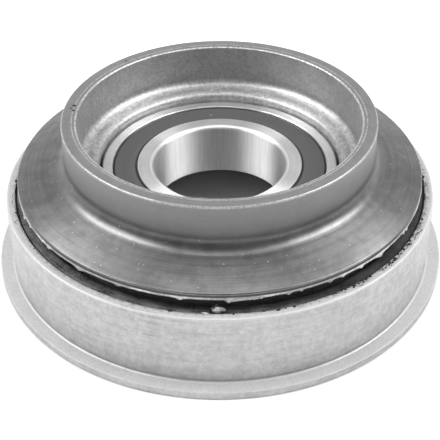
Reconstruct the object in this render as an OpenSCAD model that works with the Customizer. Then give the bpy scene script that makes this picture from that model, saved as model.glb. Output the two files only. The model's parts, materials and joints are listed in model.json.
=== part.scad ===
// Driveshaft centre bearing: a flanged steel ring, a bonded rubber ring, a turned carrier
// with a collar and a skirt, and a sealed ball bearing seated in the carrier.
// Millimetres. +Z runs along the bore. The origin is the centre of the flange's underside.

/* [Outer ring] */
// Diameter of the flange at the foot of the ring
flange_d = 105; // [103:0.5:112]
// Thickness of the flange
flange_t = 1.8; // [1.2:0.1:3]
// Outside diameter of the ring, a press fit in its bracket
ring_d = 98.5; // [97:0.1:101]
// Height of the ring, flange included
ring_h = 18.8; // [16:0.2:24]
// Wall of the ring
ring_wall = 2.1; // [1.5:0.1:3]
// Length of the slight taper that leads the ring into its bracket
lead_in_h = 1.9; // [0.8:0.1:3]
// How far the taper draws the ring in, per side
lead_in_depth = 0.13; // [0.05:0.01:0.4]
// Round of the ring's and the flange's edges
ring_edge_r = 0.3; // [0.1:0.05:0.6]
// Fillet in the corner between the flange and the ring
ring_corner_r = 0.4; // [0.2:0.05:0.8]
// Bend round at the foot of the ring's inside
ring_foot_r = 1.6; // [0.8:0.1:3]

/* [Rubber ring] */
// Thickness of the folds of the rubber
rubber_t = 3.2; // [2.4:0.1:3.8]
// Rubber left under the upper groove and over the lower groove
rubber_floor_t = 3.8; // [2.5:0.1:4.5]
// Height of the rubber's underside above the flange's underside
rubber_z = 3.6; // [2:0.2:5]
// How far the rubber's outer fold stops below the ring's top edge
rubber_drop = 0.5; // [0.2:0.1:2]
// Free travel between the rubber and the underside of the skirt
bump_gap = 3; // [2:0.2:4]
// Round of the rubber's free edges
rubber_edge_r = 1; // [0.4:0.1:1.4]
// Bond line between the rubber and the metal
bond_line = 0.05; // [0.02:0.01:0.1]

/* [Bearing carrier] */
// Radial gap between the skirt's edge and the inside of the ring
skirt_gap = 0.95; // [0.4:0.05:2]
// Height of the skirt's lower edge above the ring's top edge
skirt_lift = 2.9; // [2:0.05:5]
// Thickness of the skirt at its edge
skirt_edge_t = 1.2; // [0.8:0.05:2]
// Rise of the skirt's top, from its edge to the collar
skirt_rise = 2.9; // [1.5:0.1:4]
// Rise of the skirt's underside, from its edge to the tube
skirt_under_rise = 0.9; // [0.3:0.1:1.5]
// Fillet between the skirt and the collar
skirt_fillet_r = 2.8; // [1.5:0.1:4]
// Round of the skirt's edge
skirt_edge_r = 0.3; // [0.1:0.05:0.5]
// Wall of the collar
collar_wall = 3.35; // [2.4:0.05:4.5]
// Depth of the collar's well, from its rim to the ledge
collar_depth = 11.2; // [8:0.2:16]
// Width of the shallow bevel inside the collar's rim
rim_bevel_w = 1; // [0.4:0.1:1.6]
// Depth of that bevel
rim_bevel_h = 0.25; // [0.1:0.05:0.5]
// Round of the rim's edges
rim_edge_r = 0.25; // [0.1:0.05:0.4]
// Width of the ledge between the collar and the bearing's seat
ledge_w = 4.4; // [3.4:0.1:6]
// How far the ledge lies below the root of the skirt
ledge_drop = 0.95; // [0.4:0.05:2]
// Round at the foot of the collar's inside
ledge_foot_r = 1.4; // [0.6:0.1:2]
// Round of the ledge's lip, which leads the bearing in
ledge_lip_r = 1.1; // [0.5:0.1:1.5]
// Wall of the tube around the bearing
seat_wall = 3.5; // [2.5:0.1:4.5]
// How far the bearing sits below the ledge
seat_step = 1.6; // [1.2:0.1:3]
// Thickness of the lip under the bearing
lip_t = 1.6; // [1:0.1:2.5]
// How far that lip reaches in under the outer race
lip_reach = 2; // [1:0.1:2.4]
// Round at the free edges of the tube and its lip
tube_edge_r = 0.5; // [0.2:0.1:0.8]
// Fillet between the tube and the skirt's underside
tube_fillet_r = 1.6; // [0.8:0.1:2.2]

/* [Ball bearing] */
// Bore of the inner race, which takes the shaft
bore_d = 30; // [29:0.5:31]
// Outside diameter of the outer race
bearing_d = 55; // [54:0.5:56]
// Width of both races
bearing_w = 13; // [12.4:0.1:15]
// Diameter of a ball
ball_d = 7.144; // [6.4:0.05:7.4]
// Number of balls
ball_count = 11; // [8:1:12]
// Height of the races' shoulders beside the ball grooves
shoulder_h = 1.3; // [1:0.05:1.5]
// Round of the races' corners
race_edge_r = 1; // [0.5:0.1:1.2]
// Groove radius of the races, as a share of the ball's diameter
conformity = 0.52; // [0.51:0.005:0.54]
// Play between a ball and each race
ball_play = 0.05; // [0.02:0.01:0.08]
// Clearance of the outer race in the carrier
seat_fit = 0.01; // [0.01:0.01:0.05]

/* [Cage] */
// Sheet thickness of the cage's two ribbons
cage_t = 0.7; // [0.5:0.05:0.9]
// Radial width of the ribbons
cage_w = 3; // [2.4:0.1:3.2]
// Play between a ball and its pocket
pocket_play = 0.15; // [0.1:0.05:0.25]
// Diameter of a rivet's shank
rivet_d = 1.2; // [0.9:0.1:1.4]
// Diameter of a rivet's heads
rivet_head_d = 2; // [1.8:0.1:2.2]
// Height of a rivet's heads
rivet_head_h = 0.45; // [0.3:0.05:0.6]
// Clearance of the rivets in the ribbons
rivet_fit = 0.02; // [0.01:0.01:0.05]

/* [Seals] */
// Thickness of a seal
seal_t = 1; // [0.7:0.05:1.2]
// How far a seal lies below the faces of the races
seal_drop = 0.25; // [0.1:0.05:0.4]
// Width of the seal's seat in the outer race
seal_seat_w = 1; // [0.7:0.05:1.2]
// Running clearance between a seal's lip and the inner race
lip_play = 0.05; // [0.02:0.01:0.1]
// Thickness of the seal's lip
lip_edge_t = 0.45; // [0.3:0.05:0.6]
// Radius of the bead that snaps into the outer race
bead_r = 0.3; // [0.2:0.05:0.35]
// Clearance of the seal in the outer race
seal_fit = 0.02; // [0.01:0.01:0.05]

/* [Hidden] */
$fn = 96;

BALLS = [for (i = [1:ball_count]) str("ball_", i < 10 ? "0" : "", i)];

// Ring
flange_r = flange_d / 2;
ring_r = ring_d / 2;
ring_in_r = ring_r - ring_wall;
lead_in_angle = atan2(lead_in_h, lead_in_depth);

// Bearing, in the radial direction
bore_r = bore_d / 2;
race_r = bearing_d / 2;
pitch_r = (bore_r + race_r) / 2;
ball_r = ball_d / 2;
groove_r = conformity * ball_d;
inner_groove_r = pitch_r - ball_r - ball_play;
outer_groove_r = pitch_r + ball_r + ball_play;
inner_shoulder_r = inner_groove_r + shoulder_h;
outer_shoulder_r = outer_groove_r - shoulder_h;
seal_seat_r = outer_shoulder_r + seal_seat_w;
ball_step = 360 / ball_count;

// Carrier, in the radial direction
seat_r = race_r + seat_fit;
tube_r = seat_r + seat_wall;
collar_in_r = seat_r + ledge_w;
collar_r = collar_in_r + collar_wall;
skirt_r = ring_in_r - skirt_gap;
rim_bevel_angle = atan2(rim_bevel_h, rim_bevel_w);
skirt_slope = atan2(skirt_rise, skirt_r - collar_r);
skirt_under_slope = atan2(skirt_under_rise, skirt_r - tube_r);

// Heights, from the ring up to the skirt and from the skirt to the bearing
skirt_low_z = ring_h + skirt_lift;
skirt_edge_z = skirt_low_z + skirt_edge_t;
skirt_root_z = skirt_edge_z + skirt_rise;
skirt_under_z = skirt_low_z + skirt_under_rise;
ledge_z = skirt_root_z - ledge_drop;
rim_z = ledge_z + collar_depth;
bearing_top_z = ledge_z - seat_step;
bearing_z = bearing_top_z - bearing_w;
mid_z = bearing_z + bearing_w / 2;
tube_z = bearing_z - lip_t;
lip_in_r = race_r - lip_reach;

// Folds of the rubber, from the tube out to the ring
rubber_in_r = tube_r + bond_line;
rubber_out_r = ring_in_r - bond_line;
groove_w = (rubber_out_r - rubber_in_r - 3 * rubber_t) / 2;
lower_groove_r = rubber_in_r + rubber_t;
web_r = lower_groove_r + groove_w;
upper_groove_r = web_r + rubber_t;
rubber_top_z = ring_h - rubber_drop;
rubber_roof_z = skirt_under_z - bump_gap;
rubber_hub_z = tube_z + tube_edge_r;

// Overshoot of a cut past the face that it opens
cut = 1;
// How far a corner's round or fillet laps over the edges beside it
lap = 0.2;
// How far a round is set towards its corner, so that it crosses the edges that it touches
nip = 0.001;

// Unit vector at an angle from the radius, towards +Z
function heading(a) = [cos(a), sin(a)];

// The area between a corner and the round that touches both its edges, which leave the corner
// at angles a and b, with b anticlockwise of a. It is added to a hollow corner as a fillet, or cut
// from a proud one as a round, and laps over both edges, so that nothing is left along them.
module corner_2d(x, y, a, b, r) {
    half = acos(heading(a) * heading(b)) / 2;
    bisector = (heading(a) + heading(b)) / (2 * cos(half));
    corner = [x, y];
    centre = corner + bisector * r / sin(half);
    reach = r / tan(half);
    touch_a = corner + heading(a) * reach;
    touch_b = corner + heading(b) * reach;
    difference() {
        polygon([
            corner - bisector * lap / sin(half),
            touch_a + (touch_a - centre) * lap / r,
            centre,
            touch_b + (touch_b - centre) * lap / r
        ]);
        translate(centre - bisector * nip)
            circle(r);
    }
}

// A rectangle between two radii and two heights
module band_2d(r0, r1, z0, z1)
    translate([r0, z0])
        square([r1 - r0, z1 - z0]);

// A groove with a round end: end_z is the height of the round's crown, open_z of the mouth
module groove_2d(r0, r1, end_z, open_z) {
    half = (r1 - r0) / 2;
    centre_z = open_z > end_z ? end_z + half : end_z - half;
    translate([r0 + half, centre_z])
        circle(half);
    band_2d(r0, r1, min(centre_z, open_z), max(centre_z, open_z));
}

// Outer ring: a flange and a wall in one pressing
module outer_ring_2d()
    difference() {
        union() {
            polygon([
                [ring_in_r, 0],
                [ring_r, 0],
                [ring_r, ring_h - lead_in_h],
                [ring_r - lead_in_depth, ring_h],
                [ring_in_r, ring_h]
            ]);
            band_2d(ring_in_r, flange_r, 0, flange_t);
            corner_2d(ring_r, flange_t, 0, 90, ring_corner_r);
        }
        corner_2d(flange_r, 0, 90, 180, ring_edge_r);
        corner_2d(flange_r, flange_t, 180, -90, ring_edge_r);
        corner_2d(ring_r - lead_in_depth, ring_h, 180, -lead_in_angle, ring_edge_r);
        corner_2d(ring_in_r, ring_h, -90, 0, ring_edge_r);
        corner_2d(ring_in_r, 0, 0, 90, ring_foot_r);
    }

module outer_ring()
    color("gainsboro")
        rotate_extrude()
            outer_ring_2d();

// Rubber ring: an arch that hangs on the carrier's tube and a trough that is bonded in the ring
module rubber_arch_2d()
    difference() {
        band_2d(rubber_in_r, upper_groove_r, rubber_hub_z, rubber_roof_z);
        groove_2d(lower_groove_r, web_r, rubber_roof_z - rubber_floor_t, rubber_hub_z - cut);
        corner_2d(upper_groove_r, rubber_roof_z, 180, -90, rubber_edge_r);
        corner_2d(lower_groove_r, rubber_hub_z, 90, 180, rubber_edge_r);
    }

module rubber_trough_2d()
    difference() {
        band_2d(web_r, rubber_out_r, rubber_z, rubber_top_z);
        groove_2d(upper_groove_r, upper_groove_r + groove_w, rubber_z + rubber_floor_t, rubber_top_z + cut);
        corner_2d(web_r, rubber_z, 0, 90, rubber_edge_r);
        corner_2d(upper_groove_r + groove_w, rubber_top_z, -90, 0, rubber_edge_r);
    }

module rubber_ring()
    color("dimgray")
        rotate_extrude() {
            rubber_arch_2d();
            rubber_trough_2d();
        }

// Bearing carrier: the collar, the skirt and the bearing's tube, turned in one piece
module bearing_carrier_2d() {
    difference() {
        union() {
            band_2d(lip_in_r, tube_r, tube_z, ledge_z);
            polygon([
                [seat_r, skirt_under_z],
                [tube_r, skirt_under_z],
                [skirt_r, skirt_low_z],
                [skirt_r, skirt_edge_z],
                [collar_r, skirt_root_z],
                [collar_r, rim_z],
                [seat_r, rim_z]
            ]);
            corner_2d(collar_r, skirt_root_z, -skirt_slope, 90, skirt_fillet_r);
            corner_2d(tube_r, skirt_under_z, -90, -skirt_under_slope, tube_fillet_r);
        }
        band_2d(0, collar_in_r, ledge_z, rim_z + cut);
        band_2d(0, seat_r, bearing_z, ledge_z + cut);
        polygon([
            [collar_in_r, rim_z - rim_bevel_h],
            [collar_in_r + rim_bevel_w, rim_z],
            [collar_in_r, rim_z]
        ]);
        corner_2d(collar_in_r, rim_z - rim_bevel_h, -90, rim_bevel_angle, rim_edge_r);
        corner_2d(collar_r, rim_z, 180, -90, rim_edge_r);
        corner_2d(skirt_r, skirt_edge_z, 180 - skirt_slope, -90, skirt_edge_r);
        corner_2d(skirt_r, skirt_low_z, 90, 180 - skirt_under_slope, skirt_edge_r);
        corner_2d(seat_r, ledge_z, -90, 0, ledge_lip_r);
        corner_2d(tube_r, tube_z, 90, 180, tube_edge_r);
        corner_2d(lip_in_r, tube_z, 0, 90, tube_edge_r);
    }
    corner_2d(collar_in_r, ledge_z, 90, 180, ledge_foot_r);
}

module bearing_carrier()
    color("gray")
        rotate_extrude()
            bearing_carrier_2d();

// Seat of a seal in the outer race: a step with a groove for the seal's bead.
// It is drawn for the upper seal and turned over for the lower one.
module seal_seat_2d() {
    top = bearing_w / 2;
    band_2d(0, seal_seat_r, top - seal_drop - seal_t, top + cut);
    translate([seal_seat_r, top - seal_drop - seal_t / 2])
        circle(bead_r + seal_fit);
}

module outer_race_2d()
    difference() {
        band_2d(outer_shoulder_r, race_r, -bearing_w / 2, bearing_w / 2);
        translate([outer_groove_r - groove_r, 0])
            circle(groove_r);
        for (side = [0, 1])
            mirror([0, side]) {
                seal_seat_2d();
                corner_2d(race_r, bearing_w / 2, 180, -90, race_edge_r);
            }
    }

module outer_race()
    color("silver")
        translate([0, 0, mid_z])
            rotate_extrude()
                outer_race_2d();

module inner_race_2d()
    difference() {
        band_2d(bore_r, inner_shoulder_r, -bearing_w / 2, bearing_w / 2);
        translate([inner_groove_r + groove_r, 0])
            circle(groove_r);
        for (side = [0, 1])
            mirror([0, side])
                corner_2d(bore_r, bearing_w / 2, -90, 0, race_edge_r);
    }

module inner_race()
    color("silver")
        translate([0, 0, mid_z])
            rotate_extrude()
                inner_race_2d();

module at_ball(i)
    rotate([0, 0, (i - 1) * ball_step])
        translate([pitch_r, 0, 0])
            children();

module ball(i)
    color("lightsteelblue")
        translate([0, 0, mid_z])
            at_ball(i)
                sphere(ball_r);

// One pressed ribbon of the cage: flat lands between the balls and a round pocket over each
module cage_ribbon() {
    pocket_r = ball_r + pocket_play;
    dome_r = pocket_r + cage_t;
    difference() {
        intersection() {
            rotate_extrude()
                band_2d(pitch_r - cage_w / 2, pitch_r + cage_w / 2, 0, dome_r + cut);
            union() {
                cylinder(r = pitch_r + cage_w, h = cage_t);
                for (i = [1:ball_count])
                    at_ball(i)
                        sphere(dome_r);
            }
        }
        for (i = [1:ball_count]) {
            at_ball(i)
                sphere(pocket_r);
            at_ball(i + 0.5)
                translate([0, 0, -cut])
                    cylinder(d = rivet_d + 2 * rivet_fit, h = cage_t + 2 * cut);
        }
    }
}

module cage_upper()
    color("darkgray")
        translate([0, 0, mid_z])
            cage_ribbon();

module cage_lower()
    color("darkgray")
        translate([0, 0, mid_z])
            mirror([0, 0, 1])
                cage_ribbon();

// A rivet: a shank through both ribbons with a flat head on each side
module rivet() {
    reach = cage_t + rivet_head_h;
    translate([0, 0, -reach])
        cylinder(d = rivet_d, h = 2 * reach);
    for (side = [0, 1])
        mirror([0, 0, side])
            translate([0, 0, cage_t])
                cylinder(d = rivet_head_d, h = rivet_head_h);
}

module cage_rivets()
    color("darkgray")
        translate([0, 0, mid_z])
            for (i = [1:ball_count])
                at_ball(i + 0.5)
                    rivet();

// A seal: a flat rubber washer with a bead at its rim and a thin lip at the inner race
module seal_2d() {
    top = bearing_w / 2 - seal_drop;
    lip_r = inner_shoulder_r + lip_play;
    lip_root_r = lip_r + 2 * lip_edge_t;
    polygon([
        [lip_r, top - lip_edge_t],
        [lip_root_r, top - seal_t],
        [seal_seat_r - seal_fit, top - seal_t],
        [seal_seat_r - seal_fit, top],
        [lip_r, top]
    ]);
    translate([seal_seat_r, top - seal_t / 2])
        circle(bead_r);
}

module seal_upper()
    color("dimgray")
        translate([0, 0, mid_z])
            rotate_extrude()
                seal_2d();

module seal_lower()
    color("dimgray")
        translate([0, 0, mid_z])
            mirror([0, 0, 1])
                rotate_extrude()
                    seal_2d();

outer_ring();
rubber_ring();
bearing_carrier();
outer_race();
inner_race();
for (i = [1:ball_count])
    ball(i);
cage_upper();
cage_lower();
cage_rivets();
seal_upper();
seal_lower();
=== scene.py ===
"""Driveshaft centre bearing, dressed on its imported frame.

Turned and ground metal, bonded rubber with its moulding flash, and a plain studio stage.
Metres. +Z runs along the bore, and the part stands on the floor at Z 0.
"""

import json
import math
import random
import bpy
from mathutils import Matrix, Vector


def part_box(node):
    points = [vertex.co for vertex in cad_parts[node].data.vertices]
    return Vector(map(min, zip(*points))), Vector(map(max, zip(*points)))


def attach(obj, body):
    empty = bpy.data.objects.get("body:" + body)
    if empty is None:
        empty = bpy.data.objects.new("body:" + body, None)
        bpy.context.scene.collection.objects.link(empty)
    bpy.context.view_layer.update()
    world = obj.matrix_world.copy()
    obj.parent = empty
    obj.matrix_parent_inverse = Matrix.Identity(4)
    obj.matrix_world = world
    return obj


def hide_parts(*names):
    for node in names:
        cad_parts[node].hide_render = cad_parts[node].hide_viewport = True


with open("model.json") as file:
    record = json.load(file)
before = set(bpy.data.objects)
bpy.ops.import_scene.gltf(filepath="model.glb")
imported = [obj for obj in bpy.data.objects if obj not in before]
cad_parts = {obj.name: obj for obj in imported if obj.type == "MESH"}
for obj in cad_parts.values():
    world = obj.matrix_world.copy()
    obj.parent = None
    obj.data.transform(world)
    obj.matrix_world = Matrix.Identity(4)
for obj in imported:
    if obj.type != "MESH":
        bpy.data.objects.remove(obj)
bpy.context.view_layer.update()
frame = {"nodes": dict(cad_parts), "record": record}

from types import SimpleNamespace

import bmesh
import bpy
from bpy.props import FloatProperty, FloatVectorProperty, IntProperty, PointerProperty
from mathutils import Matrix, Vector, noise

bl_info = {
    "name": "Driveshaft centre bearing",
    "version": (1, 0, 0),
    "blender": (4, 5, 0),
    "location": "View3D > Sidebar > Bearing",
    "description": "Turned metal, bonded rubber and a studio stage for a driveshaft centre bearing",
    "category": "Object",
}

MM = 0.001
MOUNTS = {mount["name"]: mount for mount in frame["record"]["mounts"]}
TURNED_NODES = ("outer_ring", "rubber_ring", "bearing_carrier", "outer_race", "inner_race")
BOXES = {node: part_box(node) for node in TURNED_NODES}

# Straight edges of an outline that are longer than this get a support point close to each end
STRAIGHT = 0.6 * MM
SUPPORT = 0.04 * MM

# Points of a mesh that lie closer than this are merged
MERGE = 0.0005 * MM

# Steps of a full turn, of a rounded corner and of a ball groove's arc
RING_STEPS = 360
RUBBER_STEPS = 320
CARRIER_STEPS = 360
OUTER_RACE_STEPS = 300
INNER_RACE_STEPS = 256
SEAL_STEPS = 280
FLASH_STEPS = 1440
ROUND_STEPS = 7
CARRIER_ROUND_STEPS = 8
RUBBER_ROUND_STEPS = 10
FLASH_ROUND_STEPS = 2
GROOVE_STEPS = 16


# Defaults that come from the frame

def top_of(node):
    """Height of a CAD node's top."""
    return BOXES[node][1].z


def foot_of(node):
    """Height of a CAD node's underside."""
    return BOXES[node][0].z


def radius_of(node):
    """Largest radius of a CAD node, which is turned about Z."""
    return BOXES[node][1].x


def mount_radius(name):
    """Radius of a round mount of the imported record."""
    return MOUNTS[name]["dims"]["r_mm"] * MM


def mount_height(name):
    """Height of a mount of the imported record."""
    return MOUNTS[name]["pos_m"][2]


# Properties

def length(name, description, metres):
    """A length that a user may change."""
    return FloatProperty(name=name, description=description, default=metres, min=0.0,
                         precision=5, subtype="DISTANCE", unit="LENGTH")


def turn(name, description, degrees):
    """An angle that a user may change."""
    return FloatProperty(name=name, description=description, default=math.radians(degrees),
                         subtype="ANGLE", unit="ROTATION")


def share(name, description, value):
    """A share from 0 to 1 that a user may change."""
    return FloatProperty(name=name, description=description, default=value, min=0.0, max=1.0,
                         subtype="FACTOR")


def power(name, description, watts):
    """The power of a lamp, which a user may change."""
    return FloatProperty(name=name, description=description, default=watts, min=0.0, unit="POWER")


def colour(name, description, value):
    """A linear colour that a user may change."""
    return FloatVectorProperty(name=name, description=description, default=value, size=3,
                               min=0.0, max=1.0, subtype="COLOR")


def grey(level):
    """A neutral colour."""
    return (level, level, level)


class RingSizes(bpy.types.PropertyGroup):
    """Sizes of the flanged outer ring."""

    flange_radius: length("Flange radius", "Outside of the flange", radius_of("outer_ring"))
    flange_thickness: length("Flange thickness", "Height of the flange", mount_height("flange_stop"))
    radius: length("Ring radius", "Outside of the ring above the flange", mount_radius("bracket_seat"))
    height: length("Ring height", "Height of the ring, flange included", top_of("outer_ring"))
    wall: length("Ring wall", "Thickness of the ring", 2.1 * MM)
    lead_in_height: length("Lead-in height", "Length of the taper at the top", 1.9 * MM)
    lead_in_depth: length("Lead-in depth", "How far the taper draws in", 0.13 * MM)
    edge_round: length("Edge round", "Round of the free edges", 0.3 * MM)
    corner_round: length("Corner round", "Fillet above the flange", 0.4 * MM)
    foot_round: length("Foot round", "Bend at the foot of the inside", 1.6 * MM)


class RubberSizes(bpy.types.PropertyGroup):
    """Sizes of the folded rubber ring and its flash."""

    fold: length("Fold", "Thickness of a fold of the rubber", 3.2 * MM)
    floor: length("Floor", "Rubber left at the end of a groove", 3.8 * MM)
    drop: length("Drop", "How far the outer fold stops below the ring's top", 0.5 * MM)
    edge_round: length("Edge round", "Round of the free edges", 1.0 * MM)
    bond_round: length("Bond round", "Round where the rubber meets metal", 0.15 * MM)
    bond_line: length("Bond line", "Bond between rubber and metal", 0.05 * MM)
    hub_lift: length("Hub lift", "How far the hub's foot stands above the tube's foot", 0.5 * MM)
    flash_thickness: length("Flash thickness", "Thickness of the moulding flash", 0.07 * MM)
    flash_reach: length("Flash reach", "Usual reach of the flash over the ring", 0.42 * MM)
    flash_height: length("Flash height", "Height of the flash on the skirt's edge", 0.36 * MM)
    crumb: length("Crumb", "Usual size of a crumb of torn rubber", 0.22 * MM)


class CarrierSizes(bpy.types.PropertyGroup):
    """Sizes of the turned bearing carrier."""

    skirt_radius: length("Skirt radius", "Outside of the skirt", radius_of("bearing_carrier"))
    skirt_low: length("Skirt lower edge", "Height of the skirt's lower edge", 21.7 * MM)
    skirt_edge: length("Skirt edge", "Thickness of the skirt at its edge", 1.2 * MM)
    skirt_rise: length("Skirt rise", "Rise of the skirt up to the collar", 2.9 * MM)
    skirt_dome: length("Skirt dome", "How far the skirt's top swells above a straight slope", 0.2 * MM)
    skirt_under_rise: length("Underside rise", "Rise of the skirt's underside", 0.9 * MM)
    skirt_fillet: length("Skirt fillet", "Fillet between the skirt and the collar", 2.8 * MM)
    edge_round: length("Edge round", "Round of the skirt's edge", 0.3 * MM)
    collar_bore: length("Collar bore", "Inside of the collar", mount_radius("collar_well"))
    collar_wall: length("Collar wall", "Wall of the collar", 3.35 * MM)
    rim_height: length("Rim height", "Height of the collar's rim", top_of("bearing_carrier"))
    rim_bevel_width: length("Rim bevel width", "Width of the shallow bevel in the rim", 1.0 * MM)
    rim_bevel_depth: length("Rim bevel depth", "Depth of that bevel", 0.25 * MM)
    rim_round: length("Rim round", "Round of the rim's edges", 0.25 * MM)
    well_depth: length("Well depth", "Depth of the collar's well", 11.2 * MM)
    ledge_width: length("Ledge width", "Width of the ledge above the bearing", 4.4 * MM)
    ledge_rise: length("Ledge rise", "How far the ledge rises towards the well's wall", 1.2 * MM)
    ledge_foot: length("Ledge foot", "Round at the foot of the well", 1.7 * MM)
    ledge_lip: length("Ledge lip", "Round of the ledge's lip", 1.1 * MM)
    seat_wall: length("Seat wall", "Wall of the bearing's tube", 3.5 * MM)
    lip_reach: length("Lip reach", "How far the lip reaches under the outer race", 2.0 * MM)
    tube_foot: length("Tube foot", "Height of the tube's foot", foot_of("bearing_carrier"))
    tube_round: length("Tube round", "Round of the tube's free edges", 0.5 * MM)
    tube_fillet: length("Tube fillet", "Fillet between the tube and the skirt", 1.6 * MM)
    seat_round: length("Seat round", "Round in the corners of the bearing's seat", 0.08 * MM)


class BearingSizes(bpy.types.PropertyGroup):
    """Sizes of the ball bearing."""

    bore: length("Bore", "Radius of the bore", mount_radius("shaft_bore"))
    inner_shoulder: length("Inner shoulder", "Outside of the inner race", radius_of("inner_race"))
    outer_radius: length("Outer radius", "Outside of the outer race", radius_of("outer_race"))
    outer_shoulder: length("Outer shoulder", "Inside of the outer race", 23.572 * MM)
    seal_seat: length("Seal seat", "Radius of the seal's seat", 24.572 * MM)
    top: length("Top", "Height of the upper faces", top_of("outer_race"))
    foot: length("Foot", "Height of the lower faces", foot_of("outer_race"))
    groove_depth: length("Groove depth", "Depth of the ball grooves", 1.3 * MM)
    groove_round: length("Groove round", "Radius of the ball grooves", 3.715 * MM)
    corner: length("Corner", "Round of the races' corners", 1.0 * MM)
    fine_edge: length("Fine edge", "Round of the races' sharp edges", 0.12 * MM)
    seal_edge: length("Seal edge", "Round of the outer race where the seal sits", 0.3 * MM)
    seal_thickness: length("Seal thickness", "Thickness of a seal", 1.0 * MM)
    seal_drop: length("Seal drop", "How far a seal lies below the faces", 0.25 * MM)
    seal_fit: length("Seal fit", "Clearance of a seal in its seat", 0.02 * MM)
    lip_play: length("Lip play", "Clearance of a seal's lip", 0.05 * MM)
    lip_width: length("Lip width", "Width of the thin lip", 0.5 * MM)
    lip_step: length("Lip step", "How far the lip lies below the seal's face", 0.18 * MM)
    lip_thickness: length("Lip thickness", "Thickness of the lip", 0.3 * MM)
    rim_groove: length("Rim groove", "Width of the groove at a seal's rim", 0.4 * MM)
    rim_step: length("Rim step", "Depth of that groove", 0.45 * MM)


class FinishColours(bpy.types.PropertyGroup):
    """Colours of the finishes, as linear values."""

    plate: colour("Plate", "Light grey plated steel", grey(0.53))
    turned: colour("Turned steel", "Grey steel outside the carrier", grey(0.195))
    rim: colour("Rim", "Bare machined rim of the collar", grey(0.30))
    well: colour("Well", "Mottled steel inside the carrier", grey(0.42))
    ground: colour("Ground steel", "Bearing races", grey(0.76))
    ball: colour("Balls", "Polished balls", grey(0.72))
    cage: colour("Cage", "Pressed cage", grey(0.48))
    seal: colour("Seal", "Seal rubber", grey(0.075))
    rubber: colour("Rubber", "Bonded rubber", grey(0.09))
    flash: colour("Flash", "Pale flash under the skirt", grey(0.72))
    floor: colour("Floor", "Studio floor", grey(0.90))


class StageSettings(bpy.types.PropertyGroup):
    """Camera and light of the studio."""

    image_size: IntProperty(name="Image size", description="Width and height of the image", default=440,
                            subtype="PIXEL")
    focal_pixels: FloatProperty(name="Focal length", description="Focal length in pixels of the image",
                                default=1050.7)
    camera_back: length("Camera distance", "Distance of the camera in front of the axis", 201.58 * MM)
    camera_up: length("Camera height", "Height of the camera above the floor", 158.52 * MM)
    camera_pitch: turn("Camera pitch", "How far the camera looks down", 37.045)
    camera_roll: turn("Camera roll", "Tilt of the camera about its line of sight", -0.398)
    box_power: power("Softbox power", "Power of each side light", 2.2)
    box_out: length("Softbox distance", "Distance of a side light from the axis", 0.395)
    box_up: length("Softbox height", "Height of a side light", 0.50)
    low_power: power("Low power", "Power of each low light", 0.8)
    high_power: power("High power", "Power of each high light", 0.3)
    rear_power: power("Rear power", "Power of each rear light", 0.3)
    top_power: power("Top power", "Power of the top light", 1.1)
    ambient: share("Ambient", "Light of the surroundings", 0.28)
    front: share("Front", "Brightness of the room behind the camera in reflections", 0.14)
    back: share("Back", "Brightness of the room behind the part in reflections", 0.75)
    horizon: share("Horizon", "Added brightness low behind the part in reflections", 0.40)


SETTINGS = {
    "bearing_ring": RingSizes,
    "bearing_rubber": RubberSizes,
    "bearing_carrier": CarrierSizes,
    "bearing_races": BearingSizes,
    "bearing_finishes": FinishColours,
    "bearing_stage": StageSettings,
}


# Shader maths

def arithmetic(operation):
    """A method that adds a Math node to a value's tree, and its reflected form."""

    def plain(self, other):
        return self.tree.math(operation, self, other)

    def reflected(self, other):
        return self.tree.math(operation, other, self)

    return plain, reflected


class Value:
    """A socket of a node tree. Arithmetic on values adds Math nodes."""

    __add__, __radd__ = arithmetic("ADD")
    __sub__, __rsub__ = arithmetic("SUBTRACT")
    __mul__, __rmul__ = arithmetic("MULTIPLY")
    __truediv__, __rtruediv__ = arithmetic("DIVIDE")
    __pow__, __rpow__ = arithmetic("POWER")

    def __init__(self, tree, socket):
        self.tree = tree
        self.socket = socket

    def above(self, low, high):
        """0 below low, 1 above high, smooth between them."""
        return self.tree.node("MapRange", {"interpolation_type": "SMOOTHSTEP"},
                              {"Value": self, "From Min": low, "From Max": high})

    def below(self, low, high):
        """1 below low, 0 above high, smooth between them."""
        return 1 - self.above(low, high)

    def between(self, low, high, soft):
        """1 between low and high, falling to 0 over soft on both sides."""
        return self.above(low - soft, low) * self.below(high, high + soft)

    def ridge(self):
        """1 where the value crosses a half, falling to 0 away from it."""
        return 1 - self.tree.math("ABSOLUTE", self * 2 - 1)


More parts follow.
